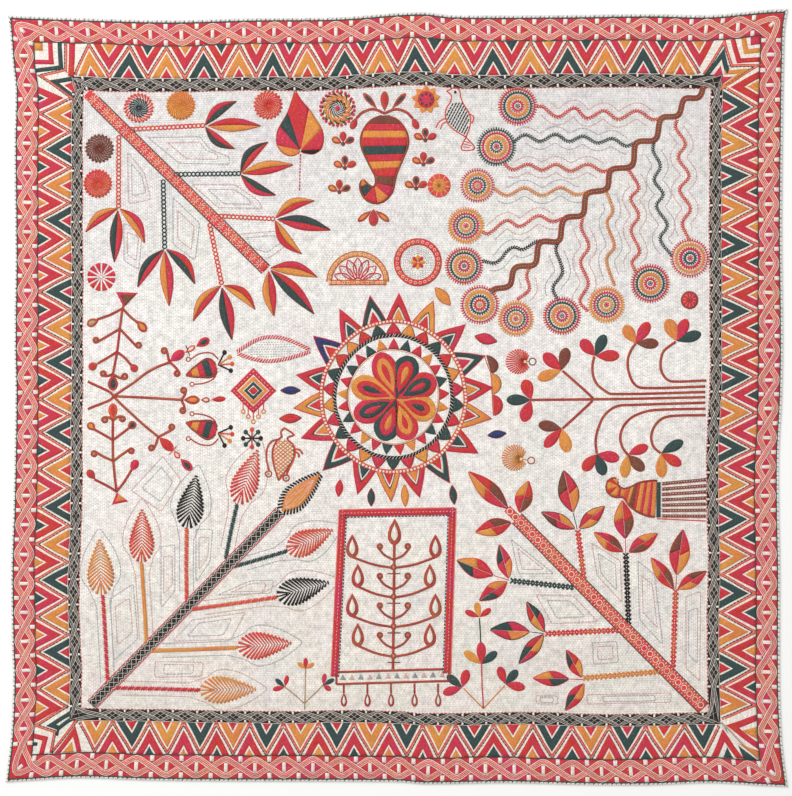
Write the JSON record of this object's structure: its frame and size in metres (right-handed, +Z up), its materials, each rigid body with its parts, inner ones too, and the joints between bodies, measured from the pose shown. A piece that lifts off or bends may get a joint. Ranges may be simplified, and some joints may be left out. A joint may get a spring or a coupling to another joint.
{
  "type": "nakshi kantha quilt",
  "caption": "Square embroidered quilt of layered cotton, laid flat, with three border bands, a round lotus medallion and four corner trees on an echo-quilted ground.",
  "frame": {"origin": "centre of the bounding box on the plane that the quilt lies on", "axes": "+Z up, out of the embroidered face; +Y towards the edge that is at the top when the bottom panel is at the bottom; +X to the right of it"},
  "size_m": [0.8472, 0.8424, 0.003],
  "materials": {
    "quilted_cotton": "washed plain-weave cotton in layers, closely quilted by hand with running stitch and embroidered in coloured cotton thread"
  },
  "bodies": {
    "root": {"kantha": "quilted_cotton"}
  },
  "joints": []
}
